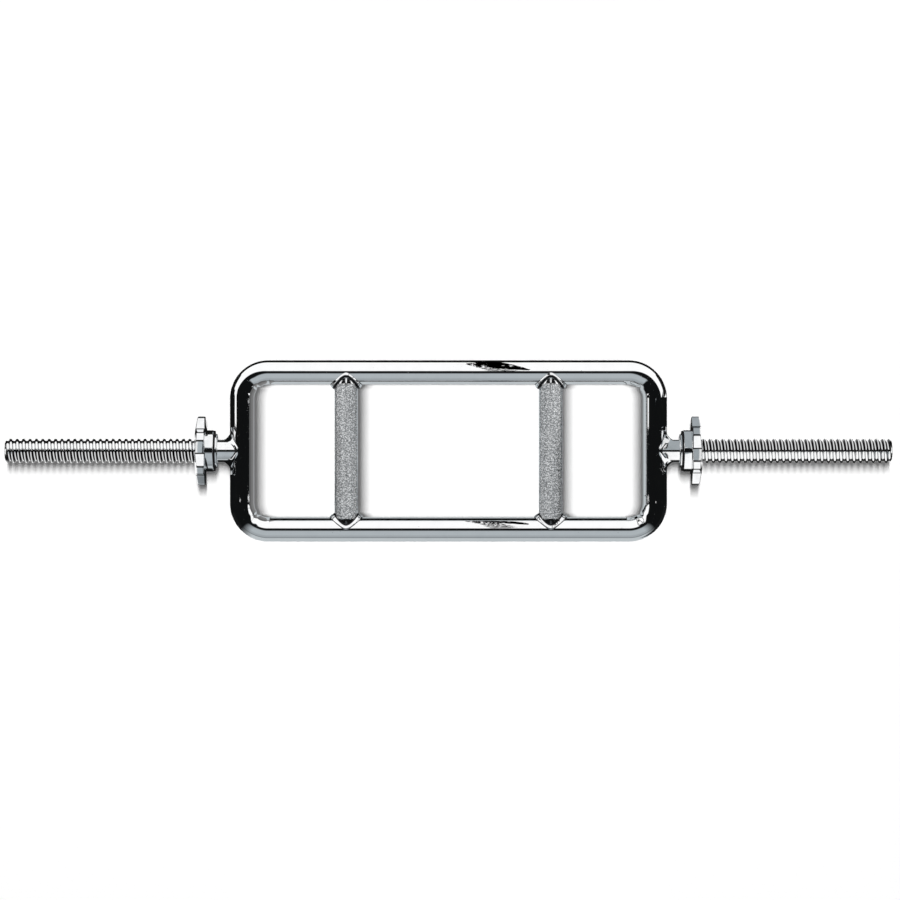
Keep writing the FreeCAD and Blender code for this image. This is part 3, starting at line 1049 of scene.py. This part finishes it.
def paper_sheet(name, x_low, x_high):
    """One flat sheet of paper between two places along the bar."""
    mesh = bpy.data.meshes.new(name)
    corners = [(x_low, -floor_reach), (x_high, -floor_reach), (x_high, floor_reach), (x_low, floor_reach)]
    mesh.from_pydata([(x, y, floor_z) for x, y in corners], [], [(0, 1, 2, 3)])
    mesh.materials.append(paper)
    sheet = in_scene(name, mesh)
    return sheet


paper_sheet("paper_left_end", -floor_reach, -loop_edge_x)
middle_sheet = paper_sheet("paper_middle", -loop_edge_x, right_sheet_x)
right_sheet = paper_sheet("paper_right_rail", right_sheet_x, loop_edge_x)
paper_sheet("paper_right_end", loop_edge_x, floor_reach)

# %% [markdown]
# ## The studio
# Chrome has no colour of its own: it shows the room. In the photo everything that leans towards
# the top of the picture is white, everything that leans to the bottom is mid grey, and the sides
# and the ceiling round the camera are black. So the room is painted by direction in the world,
# for reflections only.


# %% World
room_dark = 0.006
wall_blur = 0.02
grey_wall_edge = (-0.84, -0.66)
ceiling_edge = (0.974, 0.984)
wall_blue = (0.87, 0.95, 1.0, 1)
world_soft_level = 0.1
wall_limits = [(0, 0.22), (0.3, 0.1), (0.42, 0.03), (0.5, 0.05), (0.56, 0.2), (0.766, 0.68),
               (0.9, 0.88), (1, 1)]
wall_tones = [(0, 0.3), (0.04, 0.22), (0.11, 0.22), (0.17, 0.4), (0.45, 0.42), (0.6, 0.5), (0.955, 0.5),
              (0.978, 0.33), (0.986, 0.06), (1, 0)]


def height_curve(tree, height, points):
    """A value that follows the height, drawn as a curve through the given points."""
    node = add_node(tree, "ShaderNodeFloatCurve", {"Value": height})
    curve = node.mapping.curves[0]
    curve.points[0].location = points[0]
    curve.points[-1].location = points[-1]
    for place in points[1:-1]:
        curve.points.new(*place)
    for point in curve.points:
        point.handle_type = "VECTOR"
    node.mapping.update()
    return node.outputs[0]


def room(tree):
    """The room by direction: its level, and where it is the white wall.

    Facing is 1 towards +Y and -1 towards -Y. The white wall on +Y narrows with height, the grey
    one on -Y has its own tone at each height, and the ends and the ceiling are dark.
    """
    direction = add_node(tree, "ShaderNodeTexCoord").outputs["Generated"]
    parts = add_node(tree, "ShaderNodeSeparateXYZ", {0: direction})
    x, y, z = parts.outputs[0], parts.outputs[1], parts.outputs[2]
    flat = math_node(tree, "SQRT", math_node(tree, "MULTIPLY_ADD", x, x, times(tree, y, y)))
    facing = math_node(tree, "DIVIDE", y, largest(tree, flat, nearly_nothing))
    limit = height_curve(tree, z, wall_limits)
    white = ramp(tree, math_node(tree, "SUBTRACT", facing, limit), -wall_blur, wall_blur)
    grey = ramp(tree, facing, *grey_wall_edge, 1.0, 0.0)
    below_ceiling = ramp(tree, z, *ceiling_edge, 1.0, 0.0)
    bright = times(tree, white, below_ceiling, paper_white)
    dim = times(tree, grey, height_curve(tree, z, wall_tones))
    return largest(tree, bright, dim, room_dark), white


def studio_world():
    """A white world for the camera, a dim one for matt surfaces, and the room for the chrome."""
    world = bpy.data.worlds.new("studio")
    world.use_nodes = True
    tree = world.node_tree
    tree.nodes.clear()
    rays = add_node(tree, "ShaderNodeLightPath").outputs
    room_level, room_white = room(tree)
    after_paper = math_node(tree, "MINIMUM", rays["Diffuse Depth"], 1.0)
    in_chrome = times(tree, rays["Is Glossy Ray"], opposite(tree, after_paper))
    plain = ramp(tree, rays["Is Camera Ray"], 0.0, 1.0, world_soft_level, 1.0)
    levels = {0: in_chrome, 2: plain, 3: room_level}
    level = add_node(tree, "ShaderNodeMix", levels, data_type="FLOAT").outputs[0]
    room_tint = mixed_colour(tree, room_white, wall_blue, plain_white)
    look = {"Color": mixed_colour(tree, in_chrome, plain_white, room_tint), "Strength": level}
    background = add_node(tree, "ShaderNodeBackground", look).outputs[0]
    add_node(tree, "ShaderNodeOutputWorld", {"Surface": background})
    return world


bpy.context.scene.world = studio_world()

# %% [markdown]
# ### Cards
# Small parts are lit with cards: a white or grey board close to the piece that shows in it and
# hides the room behind. Each end of the bar has its own. Black cards draw the dark edges of the
# rails and of the chamfered tips, and two black flags behind the bar, of a cloth with holes,
# make the speckled dark marks on both rails. Only the chrome sees them.


# %% Cards
hole_blur = 0.02


def card(name, boards, level, tint=plain_white, holes=None, fineness=90.0, upright=0.25):
    """Flat boards of one tone that show in reflections only.

    The cloth is cut out where a noise of the given fineness is above the limit in holes. Upright
    is the noise's scale upwards, as a share of that across: the less, the longer the holes.
    """
    mesh = bpy.data.meshes.new(name)
    counts = np.cumsum([0] + [len(board) for board in boards])
    faces = [tuple(range(low, high)) for low, high in zip(counts[:-1], counts[1:])]
    mesh.from_pydata([corner for board in boards for corner in board], [], faces)
    piece = in_scene(name, mesh)
    for ray in ("camera", "diffuse", "transmission", "volume_scatter", "shadow"):
        setattr(piece, f"visible_{ray}", False)
    material, tree = blank_material(name)
    surface = add_node(tree, "ShaderNodeEmission", {"Color": tint, "Strength": level}).outputs[0]
    if holes is not None:
        place = add_node(tree, "ShaderNodeTexCoord").outputs["Object"]
        gaps = noise(tree, stretched(tree, place, (1.0, 1.0, upright)), fineness, 3.0, 0.7)
        cut = ramp(tree, gaps, holes, holes + hole_blur)
        clear = add_node(tree, "ShaderNodeBsdfTransparent").outputs[0]
        surface = add_node(tree, "ShaderNodeMixShader", {0: cut, 1: surface, 2: clear}).outputs[0]
    add_node(tree, "ShaderNodeOutputMaterial", {"Surface": surface})
    mesh.materials.append(material)


def across_x(x, y_low, y_high, z_low, z_high):
    """The corners of an upright board across X."""
    return [(x, y_low, z_low), (x, y_high, z_low), (x, y_high, z_high), (x, y_low, z_high)]


def across_y(y, x_low, x_high, z_low, z_high):
    """The corners of an upright board across Y."""
    return [(x_low, y, z_low), (x_high, y, z_low), (x_high, y, z_high), (x_low, y, z_high)]


side_card_low = 0.024
inside_card_x = 0.178
inside_card_y = 0.058
side_cards = (("left", -0.238, 0.068, 0.014, 0.1), ("right", 0.2188, 0.0535, 0.1, 0.1))
for side, x, reach, rear_top, front_top in side_cards:
    rear = across_x(x, side_card_low, reach, floor_z, rear_top)
    front = across_x(x, -reach, -side_card_low, floor_z, front_top)
    card(f"black_cards_{side}_rail", [rear, front], room_dark, wall_blue)
inside_steps = [floor_z, -0.02, -0.006, 0.004, 0.014]
for low, high, level in zip(inside_steps[:-1], inside_steps[1:], (0.27, 0.24, 0.19, 0.13)):
    board = across_x(-inside_card_x, -inside_card_y, inside_card_y, low, high)
    card(f"grey_card_inside_left_{low * 1000:.0f}", [board], level)
board = across_x(inside_card_x, -inside_card_y, inside_card_y, floor_z, -0.02)
card("black_card_inside_right", [board], 0.0)
board = across_y(y=-0.045, x_low=-inside_card_x, x_high=inside_card_x, z_low=-0.018, z_high=0.002)
card("black_card_front_rail", [board], 0.0)

end_card_y = 0.053
thread_card_start, thread_card_end = 0.256, 0.445
neck_card_start = 0.219
card_top = 0.3
pale_level, grey_level = 0.85, 0.42
board = across_y(-end_card_y, -thread_card_end, -thread_card_start, floor_z, card_top)
card("pale_card_left", [board], pale_level)
board = across_y(end_card_y, thread_card_start, thread_card_end, floor_z, card_top)
card("pale_card_right", [board], pale_level)
tip_card_x = 0.452
tips = [across_x(x, y_low=-0.02, y_high=0.02, z_low=floor_z, z_high=0.004) for x in (-tip_card_x, tip_card_x)]
card("black_cards_past_tips", tips, 0.0)
white_card_low = -0.01
board = across_y(-end_card_y, neck_card_start, thread_card_end, white_card_low, card_top)
card("white_card_right", [board], paper_white)
board = across_y(end_card_y, neck_card_start, thread_card_start, floor_z, card_top)
card("grey_card_neck", [board], grey_level, wall_blue)
board = across_x(x=-1.0, y_low=0.03, y_high=1.0, z_low=0.29, z_high=0.62)
card("white_card_far", [board], paper_white)
flag_y = 0.15
flag_outline = [(0.0223, floor_z), (0.0462, floor_z), (0.0561, -0.006), (0.066, 0.026), (0.076, 0.072),
                (0.0839, 0.143), (0.0839, 0.226), (0.071, 0.177), (0.0611, 0.143), (0.0511, 0.1),
                (0.0412, 0.061), (0.0313, 0.026)]
card("black_flag", [[(x, flag_y, z) for x, z in flag_outline]], 0.0, holes=0.64)
far_flag_y = 0.278
far_flag_outline = [(0.022, floor_z), (0.035, 0.0), (0.044, 0.06), (0.054, 0.16), (0.065, 0.3),
                    (0.076, 0.6), (0.085, 1.3), (0.076, 1.6), (0.06, 1.6), (0.048, 0.9),
                    (0.036, 0.32), (0.026, 0.14), (0.017, 0.02)]
board = [(x, far_flag_y, z) for x, z in far_flag_outline]
card("black_flag_far", [board], 0.0, holes=0.52, fineness=320.0, upright=0.02)

# %% [markdown]
# ### The lamps
# A long soft box hangs above the bar, shifted to the left. It is long along the bar and narrow
# across it, so the handles have soft shadows on their right, while the shadows of the rails
# stay sharp and hidden under them. A second one, shifted to the right, does the same for the
# right side rail, and a third one leans back over both ends, for the shadows below the threads.
# They are kept out of the reflections, where the room is.

# %% Lamps
lamp_height = 12.0
lamp_level = 0.97


def soft_box(name, tilt_x, tilt_y, spread_x, spread_y, sheets, rule):
    """A far rectangular lamp, seen from the bar at the given angles.

    The rule says whether it lights the given sheets alone (INCLUDE) or all but them (EXCLUDE).
    Its power is what gives a white sheet of paper straight below it the plain level.
    """
    tilt = [math.tan(math.radians(angle)) for angle in (tilt_x, tilt_y)]
    size = [2 * lamp_height * math.tan(math.radians(angle / 2)) for angle in (spread_x, spread_y)]
    distance = lamp_height * math.sqrt(1 + tilt[0] ** 2 + tilt[1] ** 2)
    data = bpy.data.lights.new(name, "AREA")
    data.shape = "RECTANGLE"
    data.size, data.size_y = size
    data.energy = lamp_level * math.pi**2 * distance**4 / lamp_height**2
    lamp = in_scene(name, data)
    lamp.location = (lamp_height * tilt[0], lamp_height * tilt[1], lamp_height)
    lamp.visible_glossy = False
    chosen = bpy.data.collections.new(f"{name}_sheets")
    for sheet in sheets:
        chosen.objects.link(sheet)
    for link in chosen.collection_objects:
        link.light_linking.link_state = rule
    lamp.light_linking.receiver_collection = chosen
    print(f"{name}: {size[0]:.2f} by {size[1]:.2f} m, {data.energy:.0f} W")


soft_box("soft_box_middle", -10.2, 0.0, 16.5, 3.0, [middle_sheet], "INCLUDE")
soft_box("soft_box_right", 8.2, 0.0, 16.0, 3.0, [right_sheet], "INCLUDE")
soft_box("soft_box_ends", 0.0, 11.3, 3.0, 16.6, [middle_sheet, right_sheet], "EXCLUDE")

# %% [markdown]
# ## The camera
# The photo looks straight down from far off, so the bar has hardly any perspective. The camera
# stands about five bar lengths above it, and its lens is set so that one picture point is just
# under a millimetre.

# %% Camera
camera_x, camera_y, camera_height = 0.0015, 0.0009, 4.25
picture_width = 0.89388
camera_data = bpy.data.cameras.new("camera")
camera_data.sensor_width = 36.0
camera_data.lens = camera_data.sensor_width * camera_height / picture_width
camera = in_scene("camera", camera_data)
camera.location = (camera_x, camera_y, camera_height)
camera_data.clip_end = 20.0
bpy.context.scene.camera = camera
bpy.context.scene.view_settings.view_transform = "Standard"
print(f"lens {camera_data.lens:.1f} mm")
